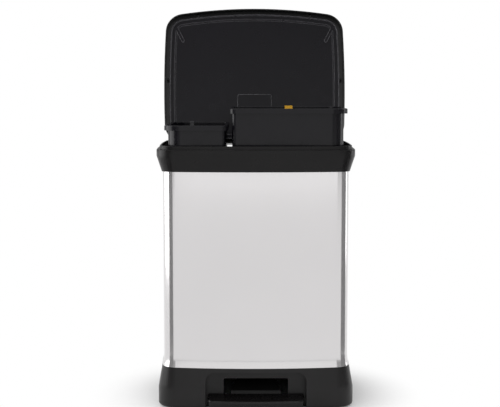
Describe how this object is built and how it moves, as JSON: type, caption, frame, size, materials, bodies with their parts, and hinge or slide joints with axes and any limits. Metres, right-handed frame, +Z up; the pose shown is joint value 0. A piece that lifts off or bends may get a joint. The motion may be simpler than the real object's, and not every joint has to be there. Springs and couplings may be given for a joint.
{
  "type": "dual recycling pedal bin",
  "caption": "Pedal bin with a metal sleeve body, a hinged lid and lift-out inner buckets of different widths for sorted waste.",
  "frame": {"origin": "on the floor under the middle of the base, halfway across its width and its depth", "axes": "+Z up, -Y the front with the pedal, +X to the right seen from the front"},
  "size_m": [0.384, 0.3924, 0.7825],
  "materials": {
    "black_moulding": "fine satin moulding texture",
    "foot_rubber": "matt rubber",
    "sleeve_metal": "silver metallic lacquer, satin",
    "plated_steel": "bright zinc plate",
    "lever_steel": "black powder coat",
    "lid_plastic": "polished black moulding",
    "panel_plastic": "fine matt moulding texture",
    "tread_plastic": "satin moulding with polished ends",
    "bucket_plastic": "satin moulding",
    "yellow_clip": "coloured moulding",
    "dark_clip": "coloured moulding"
  },
  "bodies": {
    "bin": {"base_shell": "black_moulding", "base_feet": "foot_rubber", "body_sleeve": "sleeve_metal", "collar": "black_moulding", "hinge_pins": "plated_steel", "rod_guides": "black_moulding", "pedal_axle": "plated_steel", "axle_clips": "plated_steel"},
    "lid": {"lid_cover": "lid_plastic", "lid_inner_panel": "panel_plastic", "lid_buffers": "foot_rubber", "lid_crank": "plated_steel", "crank_pin": "plated_steel", "crank_screws": "plated_steel"},
    "pedal": {"pedal_lever": "lever_steel", "lever_pin": "plated_steel", "pedal_tread": "tread_plastic", "tread_screws": "plated_steel"},
    "rod": {"push_rod": "plated_steel", "rod_foot": "black_moulding", "rod_head": "black_moulding", "rod_nuts": "plated_steel"},
    "small_bucket_body": {"small_bucket": "bucket_plastic", "small_bucket_clip": "dark_clip"},
    "large_bucket_body": {"large_bucket": "bucket_plastic", "large_bucket_clip": "yellow_clip"}
  },
  "joints": [
    {"name": "lid_hinge", "type": "hinge", "parent": "bin", "child": "lid", "pos_m": [0, 0.144, 0.5], "axis": [-1, 0, 0], "range_deg": [-105, 0]},
    {"name": "pedal_pivot", "type": "hinge", "parent": "bin", "child": "pedal", "pos_m": [0, -0.008, 0.036], "axis": [-1, 0, 0], "range_deg": [0, 11.98]},
    {"name": "rod_slide", "type": "slide", "parent": "bin", "child": "rod", "axis": [0, 0, 1], "range_m": [-0.02714, 0]},
    {"name": "small_bucket_slide", "type": "slide", "parent": "bin", "child": "small_bucket_body", "axis": [0, 0, 1], "range_m": [-0.04301, 0]},
    {"name": "large_bucket_slide", "type": "slide", "parent": "bin", "child": "large_bucket_body", "axis": [0, 0, 1], "range_m": [-0.07501, 0]}
  ],
  "couplings": [
    {"joint": "pedal_pivot", "follows": "lid_hinge", "ratio": -0.1141},
    {"joint": "rod_slide", "follows": "lid_hinge", "m_per_rad": 0.014806},
    {"joint": "small_bucket_slide", "follows": "lid_hinge", "m_per_rad": 0.023464},
    {"joint": "large_bucket_slide", "follows": "lid_hinge", "m_per_rad": 0.040926}
  ]
}
